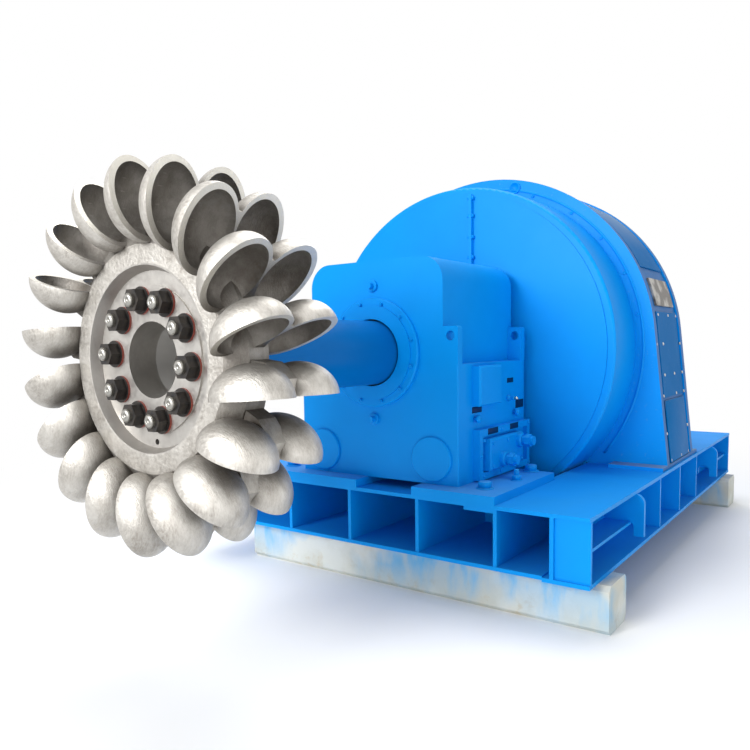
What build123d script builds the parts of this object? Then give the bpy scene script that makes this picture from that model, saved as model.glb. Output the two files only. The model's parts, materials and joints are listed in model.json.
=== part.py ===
from build123d import *
import math
import os

os.makedirs("parts", exist_ok=True)

# Hydroelectric generator set: a horizontal shaft with a Pelton runner overhung at the front,
# two box bearing housings, a large round generator casing, and a welded base on two sleepers.
# X runs across the machine, Y back along the shaft, Z up from the floor.
# The origin lies on the floor, under the shaft, at the middle of the front sleeper.

# Sleepers
sleeper_height = 211.0
sleeper_depth = 236.0
sleeper_length = 2065.0
sleeper_shift = 167.0
sleeper_bevel = 22.0
sleeper_setback = 202.0

# Base frame
base_width = 2290.0
base_length = 3145.0
base_height = 300.0
plate = 18.0
deck_depth = 720.0
rail_flange_inset = 205.0
rail_web_inset = 172.0
bottom_plate_lift = 7.0
divider_count = 4
divider_pitch = 406.0
divider_first = -507.0
divider_setback = 5.0
corner_panel_recess = 12.0
doubler_inner = 565.0
doubler_depth = 210.0
shelf_height = 132.0
shelf_thickness = 14.0
shelf_inset = 25.0
stiffener_count = 3
stiffener_inset = 4.0

# Lifting hooks
hook_thickness = 25.0
hook_setback = 660.0
hook_reach = 36.0
hook_lip_width = 47.0
hook_lip_bottom = 75.0
hook_heel_bottom = 92.0
hook_slot_width = 68.0
hook_slot_top = 150.0
hook_corner = 50.0

# Sole pads between deck and bearing housing
sole_thickness = 39.0
sole_outer = 719.0
sole_gap_left = -43.0
sole_gap_right = 286.0
sole_depth = 700.0

# Bearing housings
axis_above_base = 975.0
housing_setback = 110.0
housing_length = 749.0
housing_half_width = 482.0
housing_split = 918.0
housing_upper_half_width = 402.0
housing_top = 1434.0
housing_corner = 120.0
housing_edge = 8.0
lug_rise = 180.0
lug_thickness = 42.0
lug_corner = 14.0
lug_hole_radius = 23.0
lug_hole_inset = 40.0
lug_hole_drop = 45.0
seal_radius = 274.0
seal_thickness = 21.0
seal_step_radius = 236.0
seal_step = 9.0
seal_bevel = 6.0
seal_gap = 8.0
bush_radius = 235.0
bush_length = 520.0
round_cover_radius = 110.0
round_cover_thickness = 14.0
round_cover_offset = 337.0
round_cover_height = 460.0
plug_radius = 30.0
plug_length = 14.0
nipple_radius = 14.0
nipple_length = 24.0
upper_plug_height = 1309.0
lower_plug_height = 639.0
top_fitting_radius = 20.0
top_fitting_height = 44.0
top_fitting_spacing = 130.0

# Fittings on the side of the front housing
cover_front = 256.0
cover_back = 845.0
cover_top = 595.0
cover_bottom = 346.0
cover_rim = 38.0
cover_rim_width = 34.0
cover_panel = 16.0
flange_front = 330.0
flange_back = 705.0
flange_top = 545.0
flange_bottom = 385.0
flange_thickness = 24.0
union_boss_radius = 38.0
union_boss_length = 26.0
union_radius = 24.0
union_length = 85.0
union_hex = 34.0
union_hex_length = 27.0
union_low_setback = 455.0
union_low_height = 432.0
union_high_setback = 652.0
union_high_height = 505.0
gauge_box_front = 250.0
gauge_box_back = 485.0
gauge_box_top = 905.0
gauge_box_bottom = 710.0
gauge_box_depth = 45.0

# Generator casing and end drums
casing_front = 1312.0
casing_length = 629.0
casing_radius = 1042.0
casing_foot_half_width = 1122.0
end_plate_thickness = 50.0
end_plate_step = 11.0
deck_opening_gap = 22.0
well_gap = 12.0
foot_reach = 105.0
foot_thickness = 20.0
foot_inset = 150.0
drum_radius = 948.0
drum_front = 955.0
rear_drum_depth = 250.0
drum_edge_round = 14.0
drum_face_step = 8.0
drum_face_step_radius = 905.0
seam_offset = 106.0
seam_thickness = 18.0
seam_depth = 26.0
opening_gap = 28.0
panel_thickness = 7.0
side_panel_rise = 390.0
side_panel_overrun = 90.0
side_panel_margin = 40.0
top_panel_turn = 28.0
top_panel_gap = 4.0
top_panel_margin = 88.0
window_turn = 9.0
window_flare_gap = 6.8
window_margin = 122.0
window_thickness = 12.0

# Shaft
shaft_radius = 160.0
journal_radius = 150.0
rotor_shaft_radius = 185.0
journal_clearance = 0.08
coupling_radius = 292.0
coupling_thickness = 92.0
shaft_end_gap = 40.0
rear_cover_radius = 262.0
rear_cover_thickness = 28.0

# Pelton runner
runner_bolt_face = -1228.0
runner_hub_thickness = 118.0
runner_bore_radius = 136.0
bore_depth = 420.0
recess_radius = 329.0
recess_slope = 16.0
hub_ring_radius = 402.0
hub_ring_rise = 34.0
hub_step_radius = 262.0
hub_step = 7.0
rim_radius = 470.0
rim_half_thickness = 44.0
balance_hole_radius = 11.0
balance_hole_offset = 292.0
bucket_count = 18
bucket_phase = 19.8
bucket_centre_radius = 549.0
bucket_half_length = 152.0
cup_half_width = 112.0
cup_spacing = 104.0
bucket_lip = 21.0
splitter_half_width = 4.0
bucket_tilt = 13.0
bucket_lead = 26.0
notch_radius = 52.0
notch_offset = 20.0
stem_half_thickness = 40.0
stem_depth = 140.0

# Runner bolts
bolt_circle_radius = 215.0
bolt_count = 10
bolt_phase = 24.0
nut_across_flats = 75.0
nut_height = 40.0
washer_radius = 49.5
washer_thickness = 8.0
stud_radius = 24.0
stud_stand_out = 59.0

# Clearances
seat_gap = 0.3

# Derived places
base_z = sleeper_height
deck_z = base_z + base_height
axis_z = base_z + axis_above_base
front_y = -sleeper_setback
rear_y = front_y + base_length
half_base = base_width / 2
web_x = half_base - rail_web_inset
casing_y0 = front_y + casing_front
casing_y1 = casing_y0 + casing_length
bolt_face_y = front_y + runner_bolt_face
mating_face_y = bolt_face_y + runner_hub_thickness
bucket_plane_y = (bolt_face_y + mating_face_y) / 2
deck_chord = math.sqrt(drum_radius**2 - (axis_z - deck_z) ** 2)
opening_x = deck_chord + deck_opening_gap
housing_y0 = front_y + housing_setback
housing_y1 = housing_y0 + housing_length
rear_housing_y0 = rear_y - housing_setback - housing_length
rear_housing_y1 = rear_y - housing_setback


def block(x0, x1, y0, y1, z0, z1):
    # A box given by its limits
    size = Box(abs(x1 - x0), y1 - y0, z1 - z0)
    return Pos((x0 + x1) / 2, (y0 + y1) / 2, (z0 + z1) / 2) * size


def rod(radius, y0, y1, x=0.0, z=axis_z):
    # A cylinder along Y
    return Pos(x, (y0 + y1) / 2, z) * Rot(90, 0, 0) * Cylinder(radius, y1 - y0)


def ring(outer, inner, y0, y1, x=0.0, z=axis_z):
    # A flat ring along Y
    return rod(outer, y0, y1, x, z) - rod(inner, y0, y1, x, z)


def across(shape):
    # The same piece on the other side of the machine
    return mirror(shape, about=Plane.YZ)


def to_rear(shape):
    # The same piece at the other end of the base
    middle = (front_y + rear_y) / 2
    return mirror(shape, about=Plane.XZ.offset(-middle))


def save(shape, node):
    export_step(shape, "parts/" + node + ".step")


# Sleepers under both ends of the base
sleeper = block(
    sleeper_shift - sleeper_length / 2,
    sleeper_shift + sleeper_length / 2,
    -sleeper_depth / 2,
    sleeper_depth / 2,
    0,
    sleeper_height,
)
sleeper = chamfer(sleeper.edges().filter_by(Axis.X), sleeper_bevel)
save(sleeper, "sleeper_front")
save(to_rear(sleeper), "sleeper_rear")

# Front cross beam: deck plate, bottom plate, upright dividers and a closing web
deck_plate = block(-half_base, half_base, front_y, front_y + deck_depth, deck_z - plate, deck_z)
flange_x = half_base - rail_flange_inset
bottom_z = base_z + bottom_plate_lift
bottom_plate = block(
    -flange_x, flange_x, front_y, front_y + deck_depth, bottom_z, bottom_z + plate
)
web_back_y = front_y + deck_depth
cross_web = block(-web_x, web_x, web_back_y - plate, web_back_y, bottom_z + plate, deck_z - plate)
dividers = Part()
for index in range(divider_count):
    x = divider_first + index * divider_pitch
    divider = block(
        x,
        x + plate,
        front_y + divider_setback,
        web_back_y - plate,
        bottom_z + plate,
        deck_z - plate,
    )
    dividers += divider
doubler_outer = divider_first + (divider_count - 1) * divider_pitch - seat_gap
doubler = block(
    doubler_inner,
    doubler_outer,
    front_y + divider_setback,
    front_y + divider_setback + doubler_depth,
    deck_z - 2 * plate,
    deck_z - plate,
)
dividers += doubler
dividers += across(doubler)
save(deck_plate, "deck_plate_front")
save(to_rear(deck_plate), "deck_plate_rear")
save(bottom_plate, "bottom_plate_front")
save(to_rear(bottom_plate), "bottom_plate_rear")
save(cross_web, "cross_web_front")
save(to_rear(cross_web), "cross_web_rear")
save(dividers, "dividers_front")
save(to_rear(dividers), "dividers_rear")

# Side rail: web, flanges, stiffeners between the hooks, and boxed corners
rail = block(web_x, web_x + plate, front_y, rear_y, base_z + plate, deck_z - plate)
rail += block(flange_x, half_base, front_y, rear_y, base_z, base_z + plate)
rail += block(
    opening_x,
    half_base,
    front_y + deck_depth + seat_gap,
    rear_y - deck_depth - seat_gap,
    deck_z - plate,
    deck_z,
)
hook_y0 = front_y + hook_setback
hook_y1 = hook_y0 + hook_thickness
clear_length = rear_y - front_y - 2 * (hook_setback + hook_thickness)
for index in range(stiffener_count):
    y = hook_y1 + clear_length * (index + 1) / (stiffener_count + 1)
    rail += block(
        web_x + plate,
        half_base - stiffener_inset,
        y - plate / 2,
        y + plate / 2,
        base_z + plate,
        deck_z - plate,
    )
panel_y0 = front_y + corner_panel_recess
corner = block(
    web_x + plate, half_base, panel_y0, panel_y0 + plate, base_z + plate, deck_z - plate
)
shelf_z = base_z + shelf_height
corner += block(
    web_x + plate,
    half_base - shelf_inset,
    panel_y0 + plate,
    hook_y0,
    shelf_z,
    shelf_z + shelf_thickness,
)
rail += corner
rail += to_rear(corner)
save(rail, "side_rail_right")
save(across(rail), "side_rail_left")

# Lifting hook: an upright plate with a slot that opens downwards
hook_x0 = web_x + plate
hook_x1 = half_base + hook_reach
slot_x1 = hook_x1 - hook_lip_width
slot_x0 = slot_x1 - hook_slot_width
slot_mid_x = (slot_x0 + slot_x1) / 2
slot_top_z = base_z + hook_slot_top
slot_arc_z = slot_top_z - hook_slot_width / 2
with BuildPart() as hook_build:
    with BuildSketch(Plane.XZ.offset(-hook_y1)):
        with BuildLine():
            Line((hook_x0, deck_z - plate), (hook_x1 - hook_corner, deck_z - plate))
            CenterArc(
                (hook_x1 - hook_corner, deck_z - plate - hook_corner), hook_corner, 0, 90
            )
            Polyline(
                (hook_x1, deck_z - plate - hook_corner),
                (hook_x1, base_z + hook_lip_bottom),
                (slot_x1, base_z + hook_lip_bottom),
                (slot_x1, slot_arc_z),
            )
            ThreePointArc(
                (slot_x1, slot_arc_z), (slot_mid_x, slot_top_z), (slot_x0, slot_arc_z)
            )
            Polyline(
                (slot_x0, slot_arc_z),
                (slot_x0, base_z + hook_heel_bottom),
                (hook_x0, base_z + hook_heel_bottom),
                (hook_x0, deck_z - plate),
            )
        make_face()
    extrude(amount=hook_thickness)
hook = hook_build.part
save(hook, "lifting_hook_front_right")
save(across(hook), "lifting_hook_front_left")
save(to_rear(hook), "lifting_hook_rear_right")
save(across(to_rear(hook)), "lifting_hook_rear_left")

# Sole pads carry the bearing housing clear of the deck
sole_z = deck_z + sole_thickness
left_sole = block(-sole_outer, sole_gap_left, front_y, front_y + sole_depth, deck_z, sole_z)
right_sole = block(sole_gap_right, sole_outer, front_y, front_y + sole_depth, deck_z, sole_z)
save(left_sole, "sole_pad_front_left")
save(right_sole, "sole_pad_front_right")
save(to_rear(left_sole), "sole_pad_rear_left")
save(to_rear(right_sole), "sole_pad_rear_right")

# Bearing housing: a lower box and an upper half with ears at both end walls
split_z = base_z + housing_split
top_z = base_z + housing_top
lug_z = split_z + lug_rise
bush_hole = rod(bush_radius + seat_gap, housing_y0, housing_y1)
lower = block(
    -housing_half_width, housing_half_width, housing_y0, housing_y1, sole_z, split_z
)
lower = fillet(lower.edges().filter_by(Axis.Z), housing_edge)
lower -= bush_hole
upper = block(
    -housing_upper_half_width,
    housing_upper_half_width,
    housing_y0,
    housing_y1,
    split_z,
    top_z,
)
upper = fillet(upper.edges().filter_by(Axis.Y).group_by(Axis.Z)[-1], housing_corner)
lug_hole_x = housing_half_width - lug_hole_inset
lug_hole_z = lug_z - lug_hole_drop
ears = Part()
for y0 in (housing_y0, housing_y1 - lug_thickness):
    ear = block(-housing_half_width, housing_half_width, y0, y0 + lug_thickness, split_z, lug_z)
    ear = fillet(ear.edges().filter_by(Axis.Y).group_by(Axis.Z)[-1], lug_corner)
    ears += ear
upper += ears
for side in (-1, 1):
    upper -= rod(lug_hole_radius, housing_y0, housing_y1, side * lug_hole_x, lug_hole_z)
upper -= bush_hole
bush_y0 = (housing_y0 + housing_y1 - bush_length) / 2
bush = ring(bush_radius, journal_radius + journal_clearance, bush_y0, bush_y0 + bush_length)
save(lower, "housing_lower_front")
save(upper, "housing_upper_front")
save(bush, "bearing_bush_front")
save(to_rear(lower), "housing_lower_rear")
save(to_rear(upper), "housing_upper_rear")
save(to_rear(bush), "bearing_bush_rear")

# Seal ring around the shaft on both faces of the front housing
seal_bore = shaft_radius + seal_gap
seal_disc = rod(seal_radius, housing_y0 - seal_thickness, housing_y0)
seal_disc = chamfer(seal_disc.edges().group_by(Axis.Y)[0], seal_bevel)
seal = seal_disc - rod(seal_bore, housing_y0 - seal_thickness, housing_y0)
seal += ring(
    seal_step_radius,
    seal_bore,
    housing_y0 - seal_thickness - seal_step,
    housing_y0 - seal_thickness,
)
inner_seal_bore = rotor_shaft_radius + seal_gap
inner_seal = ring(seal_radius, inner_seal_bore, housing_y1, housing_y1 + seal_thickness)
save(seal, "seal_ring_front")
save(inner_seal, "seal_ring_inner_front")
save(to_rear(inner_seal), "seal_ring_inner_rear")
rear_cover = rod(rear_cover_radius, rear_housing_y1, rear_housing_y1 + rear_cover_thickness)
save(rear_cover, "rear_end_cover")

# Round covers and plugs on the front face
cover_z = base_z + round_cover_height
for side, name in ((-1, "left"), (1, "right")):
    disc = rod(
        round_cover_radius,
        housing_y0 - round_cover_thickness,
        housing_y0,
        side * round_cover_offset,
        cover_z,
    )
    front_edge = disc.edges().group_by(Axis.Y)[0]
    disc = chamfer(front_edge, round_cover_thickness / 3)
    save(disc, "round_cover_" + name)
plugs = Part()
for height in (upper_plug_height, lower_plug_height):
    plug = rod(plug_radius, housing_y0 - plug_length, housing_y0, 0, base_z + height)
    plug = fillet(plug.edges().group_by(Axis.Y)[0], plug_length / 3)
    nipple_y1 = housing_y0 - plug_length
    plugs += plug + rod(nipple_radius, nipple_y1 - nipple_length, nipple_y1, 0, base_z + height)
save(plugs, "front_plugs")
fittings = Part()
for side in (-1, 1):
    y = (housing_y0 + housing_y1) / 2 + side * top_fitting_spacing / 2
    fittings += Pos(0, y, top_z + top_fitting_height / 2) * Cylinder(
        top_fitting_radius, top_fitting_height
    )
save(fittings, "top_fittings")

# Service cover on the right side of the front housing
side_x = housing_half_width
cover_y0 = front_y + cover_front
cover_y1 = front_y + cover_back
cover_z0 = base_z + cover_bottom
cover_z1 = base_z + cover_top
cover = block(side_x, side_x + cover_rim, cover_y0, cover_y1, cover_z0, cover_z1)
cover -= block(
    side_x + cover_panel,
    side_x + cover_rim,
    cover_y0 + cover_rim_width,
    cover_y1 - cover_rim_width,
    cover_z0 + cover_rim_width,
    cover_z1 - cover_rim_width,
)
flange_x0 = side_x + cover_panel
flange_x1 = side_x + cover_rim + flange_thickness
square_flange = block(
    flange_x0,
    flange_x1,
    front_y + flange_front,
    front_y + flange_back,
    base_z + flange_bottom,
    base_z + flange_top,
)
square_flange = chamfer(square_flange.edges().group_by(Axis.X)[-1], housing_edge)
cover -= square_flange
unions = Part()
for setback, height in (
    (union_low_setback, union_low_height),
    (union_high_setback, union_high_height),
):
    tube = extrude(Circle(union_radius), union_length)
    boss = extrude(Circle(union_boss_radius), union_boss_length)
    boss = chamfer(boss.edges().group_by(Axis.Z)[-1], union_boss_length / 4)
    hexagon = extrude(RegularPolygon(union_hex, 6), union_hex_length)
    hex_start = (union_boss_length + union_length - union_hex_length) / 2
    union = tube + boss + Pos(0, 0, hex_start) * hexagon
    unions += Pos(flange_x1, front_y + setback, base_z + height) * Rot(0, 90, 0) * union
gauge_box = block(
    side_x,
    side_x + gauge_box_depth,
    front_y + gauge_box_front,
    front_y + gauge_box_back,
    base_z + gauge_box_bottom,
    base_z + gauge_box_top,
)
gauge_box = chamfer(gauge_box.edges().group_by(Axis.X)[-1], housing_edge)
save(cover, "service_cover")
save(square_flange, "oil_flange")
save(unions, "pipe_unions")
save(gauge_box, "gauge_box")

# Generator casing: a round body on flared sides, and a narrower part let down between the rails
well_half_width = opening_x - well_gap
foot_drop = axis_z - deck_z
foot_distance = math.hypot(casing_foot_half_width, foot_drop)
tangent_turn = math.degrees(math.acos(casing_radius / foot_distance))
foot_angle = math.degrees(math.atan2(foot_drop, casing_foot_half_width))
touch_angle = tangent_turn - foot_angle


def arch(radius, foot_half_width, y0, y1):
    # The casing outline: an arc over two straight flared sides, between two planes
    touch_x = radius * math.cos(math.radians(touch_angle))
    touch_z = axis_z + radius * math.sin(math.radians(touch_angle))
    with BuildPart() as body:
        with BuildSketch(Plane.XZ.offset(-y1)):
            with BuildLine():
                Line((-foot_half_width, deck_z), (-touch_x, touch_z))
                ThreePointArc((-touch_x, touch_z), (0, axis_z + radius), (touch_x, touch_z))
                Line((touch_x, touch_z), (foot_half_width, deck_z))
                Line((foot_half_width, deck_z), (-foot_half_width, deck_z))
            make_face()
        extrude(amount=y1 - y0)
    return body.part


def well(radius, y0, y1):
    # The part of a round body that lies between the rails, under the deck
    slot = block(-well_half_width, well_half_width, y0, y1, bottom_z, deck_z)
    return slot & rod(radius, y0, y1)


shaft_opening = rod(rotor_shaft_radius + opening_gap, front_y, rear_y)
step = end_plate_step / math.cos(math.radians(touch_angle))
casing = arch(casing_radius, casing_foot_half_width, casing_y0, casing_y1)
for y0 in (casing_y0, casing_y1 - end_plate_thickness):
    y1 = y0 + end_plate_thickness
    casing += arch(casing_radius + end_plate_step, casing_foot_half_width + step, y0, y1)
casing += well(casing_radius, casing_y0, casing_y1)
for side in (-1, 1):
    foot_x0 = side * (opening_x + foot_inset)
    foot_x1 = side * (casing_foot_half_width + step)
    casing += block(
        foot_x0,
        foot_x1,
        casing_y0 - foot_reach,
        casing_y1 + foot_reach,
        deck_z,
        deck_z + foot_thickness,
    )
casing -= shaft_opening
save(casing, "generator_casing")

# End drums on both faces of the casing
drum_y0 = front_y + drum_front
drum = rod(drum_radius, drum_y0, casing_y0)
drum = fillet(drum.edges().group_by(Axis.Y)[0], drum_edge_round)
drum += rod(drum_face_step_radius, drum_y0 - drum_face_step, drum_y0)
drum -= shaft_opening
save(drum, "drum_front")
rear_drum = rod(drum_radius, casing_y1, casing_y1 + rear_drum_depth)
rear_drum = fillet(rear_drum.edges().group_by(Axis.Y)[-1], drum_edge_round)
rear_drum -= shaft_opening
save(rear_drum, "drum_rear")

# Bolted seam that joins the two halves of the front drum face
seam_face = drum_y0 - drum_face_step
seam = block(
    seam_offset,
    seam_offset + seam_thickness,
    seam_face - seam_depth,
    seam_face,
    top_z + seam_depth,
    axis_z + math.sqrt(drum_face_step_radius**2 - (seam_offset + seam_thickness) ** 2),
)
save(seam, "drum_seam_flange")


def skin_plate(start, end, margin, thickness):
    # A curved cover on the round skin, between two angles from the top
    seat = casing_radius + seat_gap
    half_turn = (end - start) / 2
    reach = 2 * casing_radius
    wedge = [
        (0, 0),
        (reach * math.tan(math.radians(-half_turn)), reach),
        (reach * math.tan(math.radians(half_turn)), reach),
    ]
    y0 = casing_y0 + margin
    y1 = casing_y1 - margin
    sector = extrude(Plane.XZ.offset(-y1) * make_face(Polyline(*wedge, close=True)), y1 - y0)
    sector = Pos(0, 0, axis_z) * Rot(0, (start + end) / 2, 0) * sector
    return ring(seat + thickness, seat, y0, y1) & sector


window_end = 90 - touch_angle - window_flare_gap
window_start = window_end - window_turn
top_panel_end = window_start - top_panel_gap
top_panel_start = top_panel_end - top_panel_turn
top_panel = skin_plate(top_panel_start, top_panel_end, top_panel_margin, panel_thickness)
window = skin_plate(window_start, window_end, window_margin, window_thickness)
save(top_panel, "top_panel_right")
save(across(top_panel), "top_panel_left")
save(window, "window_cover_right")
save(across(window), "window_cover_left")

# Flat covers on the flared sides
flare_x = casing_foot_half_width - casing_radius * math.cos(math.radians(touch_angle))
flare_z = casing_radius * math.sin(math.radians(touch_angle)) + foot_drop
flare = math.degrees(math.atan2(flare_x, flare_z))
side_top = math.hypot(flare_x, flare_z) + side_panel_overrun
side_height = side_top - side_panel_rise
side_mid = (side_top + side_panel_rise) / 2
side_length = casing_length - 2 * (end_plate_thickness + side_panel_margin)
side_panel = Box(panel_thickness, side_length, side_height)
side_panel = chamfer(side_panel.edges().group_by(Axis.X)[-1], panel_thickness / 3)
side_panel = (
    Pos(casing_foot_half_width, (casing_y0 + casing_y1) / 2, deck_z)
    * Rot(0, -flare, 0)
    * Pos(panel_thickness / 2, 0, side_mid)
    * side_panel
)
save(side_panel, "side_panel_right")
save(across(side_panel), "side_panel_left")

# Main shaft with the runner's coupling flange at its front end
coupling_y1 = mating_face_y + coupling_thickness
shaft = rod(coupling_radius, mating_face_y, coupling_y1)
shaft = fillet(shaft.edges().group_by(Axis.Y)[-1], housing_edge)
shaft += rod(shaft_radius, coupling_y1, housing_y0)
shaft += rod(journal_radius, housing_y0, housing_y1)
shaft += rod(rotor_shaft_radius, housing_y1, rear_housing_y0)
shaft += rod(journal_radius, rear_housing_y0, rear_housing_y1 - shaft_end_gap)
shaft -= rod(runner_bore_radius, mating_face_y, bolt_face_y + bore_depth)
save(shaft, "main_shaft")

# Pelton runner: hub, rim and double-cup buckets
hub_profile = [
    (runner_bore_radius, bolt_face_y),
    (hub_step_radius, bolt_face_y),
    (hub_step_radius, bolt_face_y + hub_step),
    (recess_radius - recess_slope, bolt_face_y + hub_step),
    (recess_radius, bolt_face_y - hub_ring_rise),
    (hub_ring_radius, bolt_face_y - hub_ring_rise),
    (rim_radius, bucket_plane_y - rim_half_thickness),
    (rim_radius, bucket_plane_y + rim_half_thickness),
    (hub_ring_radius, mating_face_y + hub_ring_rise),
    (recess_radius, mating_face_y + hub_ring_rise),
    (recess_radius - recess_slope, mating_face_y),
    (runner_bore_radius, mating_face_y),
]
hub_face = make_face(Polyline(*[(r, y) for r, y in hub_profile], close=True))
hub = Pos(0, 0, axis_z) * revolve(hub_face, Axis.Y)
hub -= rod(balance_hole_radius, bolt_face_y, mating_face_y, 0, axis_z - balance_hole_offset)


def cup(half_length, half_width, y):
    # A long egg-shaped solid of revolution about the bucket's radial line
    arc = EllipticalCenterArc((0, 0), half_width, half_length, start_angle=-90, arc_size=180)
    outline = make_face([arc, Line(arc @ 1, arc @ 0)])
    return Pos(0, y, 0) * Rot(90, 0, 0) * revolve(outline, Axis.Y)


# Each bucket is two outer cups on a stem, hollowed by two inner cups that leave a sharp splitter
stem_outline = make_face(
    Polyline(
        (bucket_lead, -bucket_half_length),
        (-stem_depth, -bucket_half_length),
        (-cup_half_width, 0),
        (-cup_half_width / 2, bucket_half_length / 2),
        (0, bucket_half_length / 2),
        close=True,
    )
)
stem = Rot(90, 0, 0) * extrude(stem_outline, stem_half_thickness, both=True)
bucket_half_width = cup_spacing + cup_half_width
inner_half_width = (bucket_half_width - bucket_lip - splitter_half_width) / 2
inner_spacing = splitter_half_width + inner_half_width
rim_cut = Pos(bucket_half_length, 0, 0) * Box(
    2 * bucket_half_length, 3 * bucket_half_width, 3 * bucket_half_length
)
bucket = stem
for side in (-1, 1):
    bucket += cup(bucket_half_length, cup_half_width, side * cup_spacing)
for side in (-1, 1):
    bucket -= cup(bucket_half_length - bucket_lip, inner_half_width, side * inner_spacing)
bucket -= rim_cut
notch = Pos(0, 0, bucket_half_length + notch_offset) * Rot(0, 90, 0)
bucket -= notch * Cylinder(notch_radius, 4 * cup_half_width)
bucket = Pos(bucket_lead, bucket_plane_y, bucket_centre_radius) * Rot(0, -bucket_tilt, 0) * bucket
runner = hub
for index in range(bucket_count):
    turn = bucket_phase + index * 360 / bucket_count
    runner += Pos(0, 0, axis_z) * Rot(0, turn, 0) * bucket
runner -= rod(recess_radius - recess_slope, bolt_face_y - hub_ring_rise, bolt_face_y)
save(runner, "pelton_runner")

# Studs, nuts and washers that hold the runner to the coupling
bolts = Part()
for index in range(bolt_count):
    angle = math.radians(bolt_phase + index * 360 / bolt_count)
    x = bolt_circle_radius * math.sin(angle)
    z = axis_z + bolt_circle_radius * math.cos(angle)
    washer_y = bolt_face_y - washer_thickness
    nut_y = washer_y - nut_height
    bolt = rod(washer_radius, washer_y, bolt_face_y, x, z)
    nut = extrude(RegularPolygon(nut_across_flats / 2, 6, major_radius=False), nut_height)
    bolt += Pos(x, washer_y, z) * Rot(90, 0, 0) * nut
    stud = rod(stud_radius, bolt_face_y - stud_stand_out, nut_y, x, z)
    bolt += stud
    bolts += bolt
save(bolts, "runner_nuts")
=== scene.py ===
# %% [markdown]
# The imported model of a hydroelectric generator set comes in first. Every node is already in its
# place, in metres, so this file only gives finishes, adds small parts, and sets camera and light.

# %% Load the frame
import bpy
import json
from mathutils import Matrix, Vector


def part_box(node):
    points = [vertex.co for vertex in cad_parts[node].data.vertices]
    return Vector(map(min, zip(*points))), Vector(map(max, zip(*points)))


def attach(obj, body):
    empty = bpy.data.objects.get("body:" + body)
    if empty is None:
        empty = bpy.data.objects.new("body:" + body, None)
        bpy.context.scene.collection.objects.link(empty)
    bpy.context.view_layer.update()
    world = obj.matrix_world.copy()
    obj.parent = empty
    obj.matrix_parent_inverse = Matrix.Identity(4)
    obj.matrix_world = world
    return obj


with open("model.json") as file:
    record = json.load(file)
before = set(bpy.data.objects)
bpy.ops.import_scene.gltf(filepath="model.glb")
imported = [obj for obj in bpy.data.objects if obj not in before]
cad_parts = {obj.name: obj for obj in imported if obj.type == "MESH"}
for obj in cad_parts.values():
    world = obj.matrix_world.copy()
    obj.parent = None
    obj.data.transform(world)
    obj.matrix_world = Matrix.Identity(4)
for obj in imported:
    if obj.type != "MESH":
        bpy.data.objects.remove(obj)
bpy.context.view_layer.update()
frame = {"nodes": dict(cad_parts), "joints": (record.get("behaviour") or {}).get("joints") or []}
import json
import math
import bmesh
import bpy
from mathutils import Matrix, Vector

# %% [markdown]
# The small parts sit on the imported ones, so their places come from the boxes of those nodes. The
# shaft's height comes from the joint. Other places are measured back from the front edge of the
# base and up from its underside, and what sits on the housing's flank takes its x from that flank.

# %% Places taken from the frame
axis_z = frame["joints"][0]["pos_m"][2]
base_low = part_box("side_rail_right")[0]
front_y = base_low.y
base_z = base_low.z
housing_x = max(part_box("housing_upper_front")[1].x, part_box("housing_lower_front")[1].x)
middle_y = (front_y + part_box("deck_plate_rear")[1].y) / 2.0
RIGHT, UP, AHEAD = Vector((1, 0, 0)), Vector((0, 0, 1)), Vector((0, -1, 0))
print("axis height", round(axis_z, 3), "front edge", round(front_y, 3), "flank", round(housing_x, 3))

# %% [markdown]
# A material in Blender is a graph of nodes. Writing each sum as a chain of nodes is slow to read,
# so a wire class carries a socket and turns +, - and * into Math nodes.

# %% A wire
class Wire:
    def __init__(self, finish, socket):
        self.finish = finish
        self.socket = socket

    def __add__(self, other):
        return self.finish.sum("ADD", self, other)

    def __radd__(self, other):
        return self.finish.sum("ADD", other, self)

    def __sub__(self, other):
        return self.finish.sum("SUBTRACT", self, other)

    def __rsub__(self, other):
        return self.finish.sum("SUBTRACT", other, self)

    def __mul__(self, other):
        return self.finish.sum("MULTIPLY", self, other)

    def __rmul__(self, other):
        return self.finish.sum("MULTIPLY", other, self)


print("wire class ready")

# %% [markdown]
# A finish is one material and its tree. Every node comes from one method, which takes the node's
# type, its settings and its inputs. The other methods are short names for the nodes that metal and
# paint need again and again: a place, a normal, a noise, a ramp, a mix and a bump.

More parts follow.
